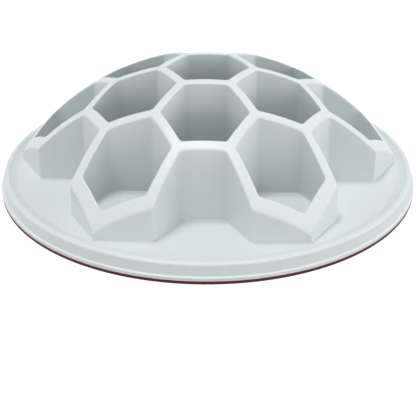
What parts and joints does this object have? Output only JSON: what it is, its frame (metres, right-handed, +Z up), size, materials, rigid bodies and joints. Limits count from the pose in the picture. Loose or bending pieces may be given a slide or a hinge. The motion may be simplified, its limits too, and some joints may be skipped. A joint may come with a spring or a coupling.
{
  "type": "slow feeder bowl",
  "caption": "Round slow feeder for cats: a low honeycomb dome of hexagonal food pockets on a flat flange, with a soft non-slip ring under its rim.",
  "frame": {"origin": "centre of the bowl on the surface it stands on", "axes": "+Z up along the bowl's axis of symmetry; -Y towards the middle of one open notch, the side that faces the camera in the picture"},
  "size_m": [0.3, 0.3, 0.085],
  "materials": {
    "moulded_plastic": "smooth satin, pale grey with a faint green tint",
    "non_slip_rubber": "matt dark berry"
  },
  "bodies": {
    "root": {"centre_pocket": "moulded_plastic", "inner_pocket_1": "moulded_plastic", "inner_pocket_2": "moulded_plastic", "inner_pocket_3": "moulded_plastic", "inner_pocket_4": "moulded_plastic", "inner_pocket_5": "moulded_plastic", "inner_pocket_6": "moulded_plastic", "outer_pocket_1": "moulded_plastic", "outer_pocket_2": "moulded_plastic", "outer_pocket_3": "moulded_plastic", "outer_pocket_4": "moulded_plastic", "outer_pocket_5": "moulded_plastic", "outer_pocket_6": "moulded_plastic", "notch_1": "moulded_plastic", "notch_2": "moulded_plastic", "notch_3": "moulded_plastic", "notch_4": "moulded_plastic", "notch_5": "moulded_plastic", "notch_6": "moulded_plastic", "flange": "moulded_plastic", "skirt": "moulded_plastic", "soft_ring": "non_slip_rubber"}
  },
  "joints": []
}
